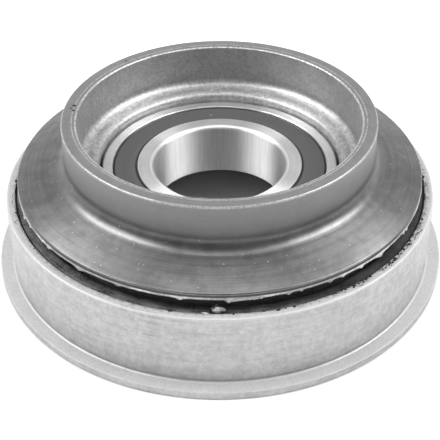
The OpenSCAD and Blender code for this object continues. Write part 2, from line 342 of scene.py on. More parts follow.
class Tree:
    """A node tree under construction."""

    def __init__(self, owner):
        owner.use_nodes = True
        self.nodes = owner.node_tree.nodes
        self.links = owner.node_tree.links
        self.nodes.clear()

    def node(self, kind, settings=None, inputs=None, output=0):
        """Adds a shader node, sets it up, fills its sockets and returns one of its outputs."""
        added = self.nodes.new("ShaderNode" + kind)
        for key, setting in (settings or {}).items():
            setattr(added, key, setting)
        for key, value in (inputs or {}).items():
            if isinstance(value, Value):
                self.links.new(value.socket, added.inputs[key])
            else:
                added.inputs[key].default_value = value
        return Value(self, added.outputs[output]) if added.outputs else None

    def math(self, operation, first, second=0.0):
        """A Math node."""
        return self.node("Math", {"operation": operation}, {0: first, 1: second})

    def blend(self, factor, first, second):
        """A mix of two colours."""
        rgba = [c if isinstance(c, Value) else (*c, 1.0) for c in (first, second)]
        return self.node("Mix", {"data_type": "RGBA"}, {0: factor, 6: rgba[0], 7: rgba[1]}, 2)

    def shades(self, factor, base, dark, light):
        """A mix of two shades of a colour, each given as a factor of it."""
        return self.blend(factor, scaled(base, dark), scaled(base, light))

    def over(self, surface, mask, base, factor):
        """A surface with a shade of a colour laid over it where a mask says."""
        return self.blend(mask, surface, scaled(base, factor))

    def seen(self):
        """1 for what the camera sees, straight on, in a reflection or through something clear."""
        camera = self.node("LightPath", output="Is Camera Ray")
        gloss = self.node("LightPath", output="Is Glossy Ray")
        through = self.node("LightPath", output="Is Transmission Ray")
        return self.math("MINIMUM", camera + gloss + through, 1.0)


class Finish(Tree):
    """A surface finish: one material whose patterns lie on the part's own millimetres."""

    def __init__(self, name):
        self.material = bpy.data.materials.new(name)
        super().__init__(self.material)
        place = self.node("TexCoord", output="Object")
        self.point = self.node("VectorMath", {"operation": "SCALE"}, {0: place, "Scale": 1 / MM})
        self.x, self.y, self.z = (self.node("SeparateXYZ", None, {0: self.point}, i) for i in range(3))
        self.radius = (self.x * self.x + self.y * self.y) ** 0.5

    def near(self):
        """1 in front of the axis, falling to 0 behind it."""
        return self.y.below(-4.0, 9.0)

    def noise(self, scale, detail=3.0, roughness=0.55, stretch=None):
        """Noise with about scale features per millimetre, times stretch along each axis."""
        at = self.point
        if stretch:
            at = self.node("Mapping", None, {"Vector": at, "Scale": stretch})
        return self.node("TexNoise", None,
                         {"Vector": at, "Scale": scale, "Detail": detail, "Roughness": roughness})

    def rings(self, across, along, detail=3.0, seed=0.0):
        """Streaks around the axis: across per millimetre of radius or height, along per turn."""
        cosine = self.x / self.radius * along
        sine = self.y / self.radius * along
        at = self.node("CombineXYZ", None, {0: self.radius * across, 1: self.z * across + seed, 2: cosine})
        return self.node("TexNoise", {"noise_dimensions": "4D"},
                         {"Vector": at, "W": sine, "Scale": 1.0, "Detail": detail, "Roughness": 0.6})

    def specks(self, scale, size, keep):
        """Round specks in a few of the cells of a grid of scale per millimetre."""
        settings = {"feature": "F1", "distance": "EUCLIDEAN"}
        sockets = {"Vector": self.point, "Scale": scale, "Randomness": 1.0}
        distance = self.node("TexVoronoi", settings, sockets, "Distance")
        cell = self.node("TexVoronoi", settings, sockets, "Color")
        chosen = self.node("SeparateColor", None, {0: cell}, 0).below(keep, keep + 0.01)
        return distance.below(size * 0.5, size) * chosen

    def spot(self, place, size):
        """A round spot at a place, both in millimetres."""
        distance = self.node("VectorMath", {"operation": "DISTANCE"}, {0: self.point, 1: place}, "Value")
        return distance.below(size * 0.6, size)

    def done(self, base, roughness, others, height=None, depth=0.0):
        """Closes the finish with its other sockets. height feeds a bump of that depth in millimetres."""
        sockets = {"Base Color": base, "Roughness": roughness, **others}
        if height is not None:
            sockets["Normal"] = self.node("Bump", None, {"Height": height, "Distance": depth * MM})
        surface = self.node("BsdfPrincipled", None, sockets)
        self.node("OutputMaterial", None, {"Surface": surface})
        return self.material


def scaled(base, factor):
    """A colour made lighter or darker."""
    return tuple(min(1.0, c * factor) for c in base)


def in_mm(sizes):
    """The lengths of a group of sizes, in millimetres."""
    return SimpleNamespace(**{key: getattr(sizes, key) / MM for key in type(sizes).__annotations__})


# Finishes, in millimetres

# Painted shade: near-black in the gaps around the outer race, and at the edges of a seal
GAP_SHADE = grey(0.012)
SEAL_EDGE_SHADE = grey(0.008)

# Turn of a gloss that is drawn out around the axis, as a share of a full turn
AROUND_AXIS = 0.25

# Dark pits in the rim: degrees to the right of the front, radius and size
RIM_PITS = (
    (-97, 33.1, 0.55), (-93.5, 32.9, 0.45), (-95, 33.6, 0.35), (-138, 33.5, 0.35), (-131.5, 35.0, 0.3),
)

# Middle of the scraped patch below the lead-in, in degrees to the right of the front, and its size
SCRAPE_AT = -20
SCRAPE_SIZE = 7.0

# Place and size of the fibre that lies on the upper seal
FIBRE_X, FIBRE_Y = -2.0, 21.0
FIBRE_SIZE = 0.3


def plated_finish(ring, base):
    """Matte light grey plate: soft clouds, fine grain, worn edges with painted highlights, painted shade
    above the flange and a few scratches.
    """
    f = Finish("plated_steel")
    s = in_mm(ring)
    inner = s.radius - s.wall
    flange = s.flange_thickness
    clouds = f.noise(0.16, 4.0)
    patches = f.noise(0.7, 3.0, 0.6)
    grain = f.noise(2.4, 3.0, 0.65)
    streaks = f.rings(1.1, 2.0)
    mottle = clouds * 0.22 + patches * 0.32 + grain * 0.26 + streaks * 0.20
    surface = f.shades(mottle.above(0.34, 0.66), base, 0.76, 1.18)

    scratches = f.noise(0.9, 2.0, 0.5, stretch=(0.35, 0.35, 3.2)).ridge() ** 26
    scratches = scratches * f.noise(0.09, 1.0).above(0.52, 0.66)
    surface = f.over(surface, scratches * 0.35, base, 0.62)

    # The flat tops of the ring and of its flange
    flat = f.z.above(s.height - 0.2, s.height) + f.z.between(flange - 0.1, flange + 0.02, 0.05)
    surface = f.blend(flat * 0.8, surface, f.shades(grain.above(0.3, 0.7), base, 0.90, 1.08))

    drawn = f.rings(5.0, 1.2, 2.0, 5.0).above(0.48, 0.58) * f.noise(0.9, 2.0).above(0.40, 0.56)
    scrape = f.spot(on_turn(SCRAPE_AT, s.radius, s.height - s.lead_in_height), SCRAPE_SIZE) * drawn
    surface = f.over(surface, scrape * 0.5, base, 0.42)

    # Rubber smeared over the top from its inner edge, mostly on the right
    smear = f.noise(1.1, 4.0, 0.7).above(0.45, 0.62) * f.radius.below(inner + 0.5, inner + 1.5)
    smear = smear * f.z.above(s.height - 0.3, s.height - 0.1)
    surface = f.over(surface, smear * (0.35 + f.x.above(8.0, 28.0) * 0.45), base, 0.22)

    # The outer edge of the top, worn and lighter as a painted highlight; a painted highlight in the corner
    # above the flange, and painted shade in the crease over it
    edge = f.z.between(s.height - 0.26, s.height, 0.2) * f.radius.above(s.radius - 0.75, s.radius - 0.3)
    surface = f.over(surface, edge * 0.4, base, 1.38)
    corner = f.z.between(flange, flange + 0.2, 0.06) * f.radius.below(s.radius + 0.40, s.radius + 0.46)
    surface = f.over(surface, corner * 0.5, base, 1.3)
    crease_shade = f.z.between(flange + 0.35, flange + 0.55, 0.15)
    surface = f.over(surface, crease_shade * 0.35, base, 0.55)

    rough = 0.44 + grain * 0.16 + clouds * 0.06 - edge * 0.14 - corner * 0.1
    height = grain * 0.4 + patches * 0.4 + streaks * 0.2
    return f.done(surface, rough, {"Metallic": 0.55 - flat * 0.35}, height, 0.03)


def carrier_outside(f, s, base, streak, dust_and_painted_light):
    """Colour of the carrier's outside, and masks of the collar's wall and of the fillet at its foot."""
    collar = s.collar_bore + s.collar_wall
    low = s.skirt_low + s.skirt_edge + s.skirt_rise
    smudges = f.noise(0.2, 4.0, 0.65).above(0.44, 0.62)
    lines = f.rings(0.75, 0.6, 1.0, 3.0).ridge() ** 18
    outside = f.shades(streak.above(0.32, 0.68), base, 0.84, 1.14)
    outside = f.over(outside, smudges * 0.5, base, 0.62)
    outside = f.over(outside, lines * 0.35, base, 0.45)
    outside = f.over(outside, dust_and_painted_light * 0.9, base, 3.2)

    wall = f.radius.between(collar - 0.05, collar + 0.1, 0.1) * f.z.above(low + 1.6, low + 4.2)
    outside = f.blend(wall * 0.8, outside, f.shades(streak.above(0.3, 0.7), base, 1.2, 1.4))
    # Painted shade: the foot of the collar's wall made a little darker
    foot = f.radius.below(collar + 0.3, collar + 0.9) * f.z.between(low + 1.2, low + 2.4, 1.8)
    outside = f.over(outside, foot * 0.12, base, 0.42)
    fillet = f.radius.between(collar, collar + 2.2, 0.5) * f.z.above(low - 1.0, low)

    # Painted shade: a dark line around the skirt's edge
    skirt_edge_shade = f.z.between(s.skirt_low + 0.42, s.skirt_low + 0.82, 0.12)
    skirt_edge_shade = skirt_edge_shade * f.radius.above(s.skirt_radius - 0.12, s.skirt_radius - 0.05)
    return f.over(outside, skirt_edge_shade * 0.85, base, 0.2), wall, fillet


def carrier_inside(f, s, well):
    """Colour of the carrier's inside, and the mottle and the coat that it is made of."""
    mottle = f.noise(1.3, 4.0, 0.68)
    flecks = f.noise(3.6, 2.0, 0.6)
    cloudy = f.noise(0.3, 3.0, 0.6)
    coat = (mottle * 0.5 + flecks * 0.25 + cloudy * 0.25).above(0.33, 0.67)
    inside = f.shades(coat, well, 0.78, 1.24)

    # The ledge: lighter, with a darker band along its middle and glints up to the wall's foot
    floor = s.rim_height - s.well_depth + s.ledge_rise + 1.0
    inside = f.blend(f.z.below(floor - 0.9, floor + 0.1), inside, f.shades(coat, well, 0.80, 1.6))
    middle = s.collar_bore - s.ledge_width * 0.55
    darker_band = f.radius.between(middle - 0.3, middle + 0.3, 0.7) * f.z.below(floor - 0.2, floor + 0.2)
    inside = f.over(inside, darker_band * cloudy.above(0.35, 0.6) * 0.6, well, 0.5)
    glints = f.specks(1.1, 0.24, 0.4) * f.z.below(floor - 0.2, floor + 2.6)
    return f.over(inside, glints * 0.45, well, 2.3), mottle, coat


def worn_and_highlit_edges(f, s):
    """Where the edges of the collar's rim are worn bright and carry painted highlights, by radius."""
    bevel = s.collar_bore + s.rim_bevel_width
    collar = s.collar_bore + s.collar_wall
    edges = f.radius.between(s.collar_bore - 0.1, s.collar_bore + 0.3, 0.15)
    edges = edges + f.radius.between(bevel - 0.08, bevel + 0.08, 0.08) * 0.7
    edges = edges + f.radius.between(collar - 0.3, collar, 0.12) * 0.4
    return edges * f.noise(2.2, 2.0).above(0.34, 0.56)


def turned_finish(carrier, base, bare, well):
    """Grey turned steel: streaks around the axis outside, a mottled coat in the well, a bare rim whose worn
    edges carry painted highlights, and painted shade at the collar's foot, the skirt's edge and under the
    ledge's lip.
    """
    f = Finish("turned_steel")
    s = in_mm(carrier)
    fine = f.rings(2.6, 2.2, 4.0, 7.0)
    blotches = f.noise(0.55, 4.0, 0.6)
    streak = f.rings(0.55, 1.3) * 0.25 + fine * 0.25 + f.noise(0.14, 3.0) * 0.2 + blotches * 0.3
    dust_and_painted_light = f.specks(0.42, 0.08, 0.30) + f.specks(0.9, 0.12, 0.25)
    outside, wall, fillet = carrier_outside(f, s, base, streak, dust_and_painted_light)
    inside, mottle, coat = carrier_inside(f, s, well)

    rim = f.z.above(s.rim_height - 0.6, s.rim_height - 0.3)
    surface = f.blend(rim, outside, f.shades(streak.above(0.30, 0.70), bare, 0.85, 1.15))
    in_well = f.radius.below(s.collar_bore + 0.02, s.collar_bore + 0.12)
    surface = f.blend(in_well, surface, inside)
    # The rim's edges: worn bright, and lighter still as painted highlights
    surface = f.over(surface, rim * worn_and_highlit_edges(f, s), bare, 2.4)
    for degrees, radius, size in RIM_PITS:
        pit = f.spot(on_turn(degrees, radius, s.rim_height), size)
        surface = f.over(surface, pit, bare, 0.12)

    # Painted shade on the seat under the ledge's lip, next to the outer race, stronger in front of the axis
    seat = s.collar_bore - s.ledge_width
    lip = s.rim_height - s.well_depth - s.ledge_lip
    gap_shade = f.radius.below(seat + 0.02, seat + 0.05) * f.z.below(lip - 0.3, lip)
    surface = f.blend(gap_shade * (0.2 + f.near() * 0.7), surface, GAP_SHADE)

    rough = 0.25 + streak * 0.10 + fillet * 0.07 + in_well * (0.14 + coat * 0.10) + dust_and_painted_light * 0.2
    metal = 0.92 - wall * 0.5 - dust_and_painted_light * 0.4
    gloss = {"Metallic": metal, "Anisotropic": 0.5, "Anisotropic Rotation": AROUND_AXIS}
    return f.done(surface, rough, gloss, fine * 0.25 + in_well * mottle * 1.5, 0.02)


def ground_finish(races, base):
    """Ground bearing steel: hair-fine rings, a soft gloss, painted shade in the gap around the outer race
    and a painted highlight on the bore's chamfer.
    """
    f = Finish("ground_steel")
    s = in_mm(races)
    fine = f.rings(5.0, 1.5, 3.0)
    clouds = f.noise(0.25, 2.0)
    surface = f.shades((fine * 0.6 + clouds * 0.4).above(0.3, 0.7), base, 0.9, 1.08)
    stains = f.specks(1.1, 0.2, 0.22)
    surface = f.over(surface, stains * 0.3, base, 0.4)
    # Painted shade in the gap around the outer race, stronger in front of the axis
    gap = s.outer_radius - s.corner
    gap_shade = f.radius.above(gap + 0.25, gap + 0.45) * (0.15 + f.near() * 0.75)
    surface = f.blend(gap_shade, surface, GAP_SHADE)

    bore = f.radius.below(s.bore + 0.03, s.bore + 0.3)
    honed = f.noise(1.0, 3.0, 0.6, stretch=(2.4, 2.4, 0.1))
    surface = f.blend(bore, surface, f.shades(honed.above(0.3, 0.7), base, 0.88, 1.02))
    # The bore's chamfer, lighter: turned brighter, and a painted highlight
    chamfer_highlight = f.radius.between(s.bore + 0.3, s.bore + s.corner, 0.1)
    surface = f.over(surface, chamfer_highlight, base, 1.3)
    gloss = {"Metallic": 1.0, "Anisotropic": 1.0, "Anisotropic Rotation": AROUND_AXIS}
    return f.done(surface, 0.24 + fine * 0.11 + bore * 0.255, gloss, fine, 0.004)


def seal_finish(races, base):
    """Dark grey seal rubber: matte, with faint rings, a little lint and painted shade at its edges."""
    f = Finish("seal_rubber")
    s = in_mm(races)
    rings = f.rings(1.8, 1.0)
    grain = f.noise(5.0, 3.0)
    surface = f.shades((rings * 0.5 + grain * 0.5).above(0.3, 0.7), base, 0.86, 1.14)
    fibre = f.spot((FIBRE_X, FIBRE_Y, s.top - s.seal_drop), FIBRE_SIZE)
    lint = f.specks(0.6, 0.09, 0.08)
    surface = f.over(surface, lint * 0.6 + fibre, base, 4.0)
    # Painted shade: near-black at the seal's rim groove and at its lip, where it meets the races
    rim = s.seal_seat - s.rim_groove
    lip = s.inner_shoulder + s.lip_width
    seal_edge_shade = f.radius.above(rim - 0.06, rim + 0.02) + f.radius.below(lip - 0.05, lip + 0.1)
    surface = f.blend(seal_edge_shade * 0.85, surface, SEAL_EDGE_SHADE)
    return f.done(surface, 0.46 + grain * 0.16, {"Specular IOR Level": 0.4}, grain, 0.02)


def rubber_finish(rubber, ring, carrier, base):
    """Black moulded rubber: flow marks around the axis, bloom on its high spots, and painted light on the
    wall of its groove.
    """
    f = Finish("mount_rubber")
    flow = f.rings(0.9, 3.0)
    grain = f.noise(2.2, 4.0, 0.65)
    stains = f.noise(0.22, 3.0)
    bloom = (flow * 0.35 + grain * 0.30 + stains * 0.35).above(0.40, 0.64)
    bloom = bloom * (1 - f.x.above(4.0, 22.0) * 0.75)
    surface = f.shades(bloom, base, 0.2, 1.75)
    top = (ring.height - rubber.drop) / MM
    surface = f.over(surface, bloom * f.z.below(top + 0.05, top + 0.2) * 0.5, base, 3.2)
    *_, upper, groove, _ = fold_radii(in_mm(rubber), in_mm(ring), in_mm(carrier))
    # Painted light: the upper part of the groove's inner wall, which lies in shade, made pale grey
    dust_and_painted_light = f.radius.between(upper - 0.1, groove - 0.3, 0.15) * f.z.above(top - 6.0, top - 4.0)
    surface = f.blend(dust_and_painted_light * (0.5 + grain * 0.5), surface, grey(0.6))
    return f.done(surface, 0.42 + grain * 0.25, {"Specular IOR Level": 0.45}, grain + flow, 0.06)


def flash_finish(carrier, base):
    """Pale scraped flash: patchy and dull, and darker in the lump that lies in the gap."""
    f = Finish("pale_flash")
    patches = f.noise(1.6, 3.0)
    stretches = f.noise(0.13, 2.0).above(0.40, 0.56)
    surface = f.shades(patches.above(0.30, 0.60), base, 0.6, 1.1)
    surface = f.over(surface, stretches * 0.7, base, 0.38)
    edge = carrier.skirt_radius / MM - 0.1
    lump = f.shades(patches.above(0.42, 0.60), base, 0.10, 0.5)
    surface = f.blend(f.radius.below(edge - 0.1, edge), surface, lump)
    return f.done(surface, 0.5 + patches * 0.2, {"Specular IOR Level": 0.4}, patches, 0.03)


def ball_finish(base):
    """Polished balls."""
    f = Finish("ball_steel")
    haze = f.noise(1.2, 3.0)
    return f.done(f.shades(haze, base, 0.96, 1.04), 0.06 + haze * 0.05, {"Metallic": 1.0})


def cage_finish(base):
    """Pressed sheet steel with drawing marks."""
    f = Finish("cage_steel")
    marks = f.rings(3.0, 6.0)
    surface = f.shades(marks.above(0.3, 0.7), base, 0.85, 1.12)
    return f.done(surface, 0.30 + marks * 0.15, {"Metallic": 1.0}, marks, 0.01)


# Modelling

def setback(before, corner, after, rounding):
    """How far from a corner a round of that radius meets the corner's edges."""
    half = (before - corner).angle(after - corner) / 2
    return rounding / math.tan(half)


def arc(centre_radius, centre_height, radius, start, end, steps):
    """Outline points on an arc, from one angle to another in degrees."""
    points = []
    for i in range(steps + 1):
        angle = math.radians(start + (end - start) * i / steps)
        out, up = radius * math.cos(angle), radius * math.sin(angle)
        points.append((centre_radius + out, centre_height + up, 0.0))
    return points


def turned(outline, steps, round_steps=ROUND_STEPS):
    """A closed mesh turned about Z from outline corners, each a radius, a height and a rounding."""
    bm = bmesh.new()
    corners = [bm.verts.new((radius, 0.0, height)) for radius, height, _ in outline]
    bm.faces.new(corners)
    places = [corner.co.copy() for corner in corners]
    for i, (_, _, rounding) in enumerate(outline):
        if rounding > 0:
            reach = setback(places[i - 1], places[i], places[(i + 1) % len(places)], rounding)
            bmesh.ops.bevel(bm, geom=[corners[i]], offset=reach, offset_type="OFFSET", affect="VERTICES",
                            segments=round_steps, profile=0.5, material=-1)
    bmesh.ops.delete(bm, geom=list(bm.faces), context="FACES_ONLY")
    for edge in list(bm.edges):
        support_ends(edge)
    bmesh.ops.spin(bm, geom=bm.verts[:] + bm.edges[:], cent=(0, 0, 0), axis=(0, 0, 1), dvec=(0, 0, 0),
                   angle=math.tau, steps=steps, use_merge=True)
    return closed(bm)


def support_ends(edge):
    """Adds a support point close to each end of a straight outline edge, so that flats shade flat."""
    long = edge.calc_length()
    if long < STRAIGHT:
        return
    start, end = edge.verts
    _, near = bmesh.utils.edge_split(edge, start, SUPPORT / long)
    rest = next(e for e in near.link_edges if e.other_vert(near) == end)
    bmesh.utils.edge_split(rest, end, SUPPORT / (long - SUPPORT))


def closed(bm):
    """Merges doubles and makes a closed mesh face outwards."""
    bmesh.ops.remove_doubles(bm, verts=bm.verts, dist=MERGE)
    return outward(bm)


def outward(bm):
    """Turns the faces outwards and makes sure that the mesh has no open edge."""
    bmesh.ops.recalc_face_normals(bm, faces=bm.faces)
    if not all(edge.is_manifold for edge in bm.edges):
        raise RuntimeError("a piece has an open edge")
    return bm


def piece(name, bm, material, body, slot, *nodes):
    """Makes an object of a mesh, sets it on its body and lets it stand for CAD nodes."""
    mesh = bpy.data.meshes.new(name)
    bm.to_mesh(mesh)
    bm.free()
    mesh.shade_smooth()
    mesh.materials.append(material)
    made = bpy.data.objects.new(name, mesh)
    bpy.context.scene.collection.objects.link(made)
    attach(made, body)
    if nodes:
        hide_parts(*nodes)


def around(angle, features, seed):
    """Seeded noise from -1 to 1 around the axis, with about that many features per turn."""
    reach = features / math.tau
    return noise.noise(Vector((math.cos(angle) * reach, math.sin(angle) * reach, seed)))


def swell(angle, patches):
    """Sum of soft humps, each a middle and a half width in degrees from the front, and a height."""
    total = 0.0
    for middle, half, height in patches:
        off = math.degrees(math.remainder(angle - front_angle(middle), math.tau)) / half
        total += height * math.exp(-off * off)
    return total


def front_angle(degrees):
    """Angle about Z of a place that lies so many degrees to the right of the front."""
    return math.radians(degrees - 90)


def on_turn(degrees, radius, height):
    """Place at a radius and a height, so many degrees to the right of the front."""
    angle = front_angle(degrees)
    return (radius * math.cos(angle), radius * math.sin(angle), height)


def angle_of(vert):
    """Angle of a vertex about Z."""
    return math.atan2(vert.co.y, vert.co.x)


def shift(vert, outwards, upwards):
    """Moves a vertex away from the axis and up."""
    vert.co.xy = vert.co.xy * (1 + outwards / vert.co.xy.length)
    vert.co.z += upwards


def torn(angle, seed):
    """Uneven share from 0 to 1 around the axis, as of a torn edge."""
    coarse = abs(around(angle, COARSE_TEARS, seed))
    fine = abs(around(angle, FINE_TEARS, seed + 5))
    return min(1.0, coarse * 1.9 + fine * 1.3)


def crumb(bm, chance, degrees, radius, height, size, steps=2):
    """Adds a crumb of torn rubber: a flattened and uneven ball, its size as three half lengths."""
    place = Matrix.Translation(on_turn(degrees, radius, height))
    twist = Matrix.Rotation(front_angle(degrees) + chance.uniform(-CRUMB_TWIST, CRUMB_TWIST), 4, "Z")
    shape = place @ twist @ Matrix.Diagonal((*size, 1.0))
    added = bmesh.ops.create_icosphere(bm, subdivisions=steps, radius=1.0, matrix=shape)
    least = min(size)
    noise.seed_set(DENT_SEED)
    for vert in added["verts"]:
        vert.co += noise.noise_vector(vert.co / (least * DENT_SIZE)) * least * DENT_DEPTH


# Flash, whose places are given in degrees to the right of the front

# Features per turn of a torn edge and of the skirt flash's upper edge
COARSE_TEARS = 150
FINE_TEARS = 460
UPPER_WAVES = 200

# Seeds of the random draws, and of the crumbs' dents, which would follow the clock without one
SKIRT_SEED = 11
RING_SEED = 23
DENT_SEED = 7

# How far a crumb may be twisted, and its dents' size and depth as shares of its least half length
CRUMB_TWIST = 0.3
DENT_SIZE = 1.1
DENT_DEPTH = 0.55

# Teeth of the skirt's flash and tears of the ring's: place, half width in degrees, millimetres
SKIRT_TEETH = (
    (-67, 0.8, 0.7), (-62, 0.6, 0.5), (-54.5, 0.7, 0.25), (-51, 0.9, 0.4), (-38.5, 1.2, 0.45),
    (-26.5, 0.8, 0.3), (-10, 0.7, 0.4), (2.2, 0.9, 0.55), (4, 1.6, 0.3), (8, 3.2, 0.25), (17, 0.5, 0.45),
    (20.5, 0.4, 0.3), (28.5, 0.6, 0.35), (32.5, 0.5, 0.4), (38.5, 0.6, 0.35), (45.5, 1.4, 0.5),
    (57.5, 0.6, 0.5), (59.5, 0.6, 0.6),
)
RING_TEARS = (
    (-80, 3.0, 0.3), (-69.5, 0.9, 0.8), (-40, 0.7, 0.6), (31, 1.2, 0.7), (34, 1.6, 0.8), (36.5, 1.0, 1.0),
    (45, 1.2, 0.7), (48, 1.2, 0.9), (51, 1.6, 0.8), (54, 1.4, 0.7), (57.5, 1.6, 1.1), (61.5, 1.6, 1.2),
    (64.5, 1.4, 1.2), (68, 1.5, 0.7), (74, 4.0, 0.5),
)

# Beads under the skirt's edge: their places, and the least and the largest half length in millimetres
SKIRT_BEADS = (3.8, 4.9, 7.1, 8.2, 10.0)
BEAD_SIZE = (0.17, 0.26)

# The lump and the sliver in the gap: place, millimetres out from the skirt and up from the floor,
# three half lengths in millimetres, and the steps of the ball that they are made from
GAP_LUMPS = (
    (-0.7, -0.45, 18.75, (0.75, 1.55, 0.8), 4),
    (-3.6, 0.75, 18.6, (0.22, 1.0, 0.16), 2),
)

# Crumbs on the ring: place and millimetres out from its inner edge, then ranges of both and a count
RING_CRUMBS = (
    (3.1, 0.3), (31, 0.3), (33.5, 0.2), (36, 0.4), (37.7, 0.8), (40.5, 0.4), (45, 0.45), (48, 0.5),
)
SCATTERED_CRUMBS = (
    ((28, 66), (0.15, 0.9), 34),
    ((-180, 180), (0.1, 0.5), 26),
)


def skirt_flash_outline(carrier, rubber):
    """Outline of the pale flash on the lower part of the skirt's edge."""
    low = carrier.skirt_low - rubber.flash_thickness
    inner = carrier.skirt_radius - rubber.flash_thickness
    outer = carrier.skirt_radius + rubber.flash_thickness
    rounding = rubber.flash_thickness * 0.4
    return [
        (inner, low, rounding),
        (outer, low, rounding),
        (outer - rubber.flash_thickness * 0.4, low + rubber.flash_height, rounding),
        (inner, low + rubber.flash_height, rounding),
    ]


def ring_flash_outline(ring, rubber):
    """Outline of the dark flash between the rubber's top and the ring's inner edge."""
    inner = ring.radius - ring.wall
    top = ring.height - rubber.drop
    return [
        (inner - 0.5 * MM, top - 0.1 * MM, 0.0),
        (inner - 0.02 * MM, top - 0.1 * MM, 0.0),
        (inner + rubber.flash_reach, ring.height - rubber.flash_thickness, 0.0),
        (inner + rubber.flash_reach, ring.height + rubber.flash_thickness, 0.0),
        (inner - 0.1 * MM, top + 0.25 * MM, 0.0),
    ]


def ring_surface(ring, radius):
    """Height of the ring's rounded inner edge or flat top at a radius."""
    off = ring.radius - ring.wall + ring.edge_round - radius
    if off <= 0:
        return ring.height
    return ring.height - ring.edge_round + math.sqrt(max(0.0, ring.edge_round ** 2 - off ** 2))


# Outlines

# Shares of the skirt's width between which its top is domed, and the points there
DOME_START = 0.05
DOME_END = 0.76
DOME_POINTS = 19

# Round at a groove's end in the rubber, as a share of its width: just short of a half, so that both fit
CROWN = 0.497


def ring_outline(s):
    """Outline of the outer ring."""
    inner = s.radius - s.wall
    return [
        (inner, 0.0, s.foot_round),
        (s.flange_radius, 0.0, s.edge_round),
        (s.flange_radius, s.flange_thickness, s.edge_round),
        (s.radius, s.flange_thickness, s.corner_round),
        (s.radius, s.height - s.lead_in_height, s.edge_round),
        (s.radius - s.lead_in_depth, s.height, s.edge_round),
        (inner, s.height, s.edge_round),
    ]


def carrier_outline(s):
    """Outline of the bearing carrier."""
    seat = s.collar_bore - s.ledge_width
    tube = seat + s.seat_wall
    collar = s.collar_bore + s.collar_wall
    ledge = s.rim_height - s.well_depth
    skirt_top = s.skirt_low + s.skirt_edge
    floor = bpy.context.scene.bearing_races.foot
    return [
        (seat - s.lip_reach, s.tube_foot, s.tube_round),
        (tube, s.tube_foot, s.tube_round),
        (tube, s.skirt_low + s.skirt_under_rise, s.tube_fillet),
        (s.skirt_radius, s.skirt_low, s.edge_round),
        (s.skirt_radius, skirt_top, s.edge_round),
        *skirt_dome(s, skirt_top, collar),
        (collar, skirt_top + s.skirt_rise, s.skirt_fillet),
        (collar, s.rim_height, s.rim_round),
        (s.collar_bore + s.rim_bevel_width, s.rim_height, s.rim_round),
        (s.collar_bore, s.rim_height - s.rim_bevel_depth, s.rim_round),
        (s.collar_bore, ledge + s.ledge_rise, s.ledge_foot),
        (seat, ledge, s.ledge_lip),
        (seat, floor, s.seat_round),
        (seat - s.lip_reach, floor, s.seat_round),
    ]


def skirt_dome(s, skirt_top, collar):
    """Outline points of the skirt's slightly domed top, from its edge to the start of the fillet."""
    width = s.skirt_radius - collar
    points = []
    for i in range(DOME_POINTS):
        u = DOME_START + (DOME_END - DOME_START) * i / (DOME_POINTS - 1)
        rise = s.skirt_rise * u + s.skirt_dome * 4 * u * (1 - u)
        points.append((s.skirt_radius - width * u, skirt_top + rise, 0.0))
    return points


def fold_radii(s, ring, carrier):
    """Radii of the rubber's walls, from the carrier's tube out to the ring."""
    inner = carrier.collar_bore - carrier.ledge_width + carrier.seat_wall + s.bond_line
    outer = ring.radius - ring.wall - s.bond_line
    gap = (outer - inner - 3 * s.fold) / 2
    lower = inner + s.fold
    web = lower + gap
    return inner, lower, web, web + s.fold, outer - s.fold, outer


def rubber_outline(s, ring, carrier):
    """Outline of the folded rubber: an arch on the carrier's tube and a trough in the ring."""
    inner, lower, web, upper, groove, outer = fold_radii(s, ring, carrier)
    roof = top_of("rubber_ring")
    foot = foot_of("rubber_ring")
    top = ring.height - s.drop
    hub = carrier.tube_foot + s.hub_lift
    crown = (groove - upper) * CROWN
    return [
        (inner, hub, s.bond_round),
        (lower, hub, s.edge_round),
        (lower, roof - s.floor, crown),
        (web, roof - s.floor, crown),
        (web, foot, s.edge_round),
        (outer, foot, s.bond_round),
        (outer, top, s.bond_round),
        (groove, top, s.edge_round),
        (groove, foot + s.floor, crown),
        (upper, foot + s.floor, crown),
        (upper, roof, s.edge_round),
        (inner, roof, s.bond_round),
    ]


def race_groove(s, shoulder, depth, rising):
    """The ball groove of a race as an arc, on the outside of a race or, turned over, on the inside."""
    middle = (s.top + s.foot) / 2
    side = 1 if depth > 0 else -1
    centre = shoulder - depth + side * s.groove_round
    half = math.degrees(math.acos((s.groove_round - abs(depth)) / s.groove_round))
    away = 180 if side > 0 else 0
    start, end = (away + half, away - half) if rising == (side > 0) else (away - half, away + half)
    return arc(centre, middle, s.groove_round, start, end, GROOVE_STEPS)


def inner_race_outline(s):
    """Outline of the inner race."""
    return [
        (s.bore, s.foot, s.corner),
        (s.inner_shoulder, s.foot, s.fine_edge),
        *race_groove(s, s.inner_shoulder, s.groove_depth, True),
        (s.inner_shoulder, s.top, s.fine_edge),
        (s.bore, s.top, s.corner),
    ]


def outer_race_outline(s):
    """Outline of the outer race with the steps for the seals."""
    step = s.seal_drop + s.seal_thickness
    return [
        (s.seal_seat, s.foot, s.seal_edge),
        (s.outer_radius, s.foot, s.corner),
        (s.outer_radius, s.top, s.corner),
        (s.seal_seat, s.top, s.seal_edge),
        (s.seal_seat, s.top - step, s.fine_edge / 2),
        (s.outer_shoulder, s.top - step, s.fine_edge),
        *race_groove(s, s.outer_shoulder, -s.groove_depth, False),
        (s.outer_shoulder, s.foot + step, s.fine_edge),
        (s.seal_seat, s.foot + step, s.fine_edge / 2),
    ]


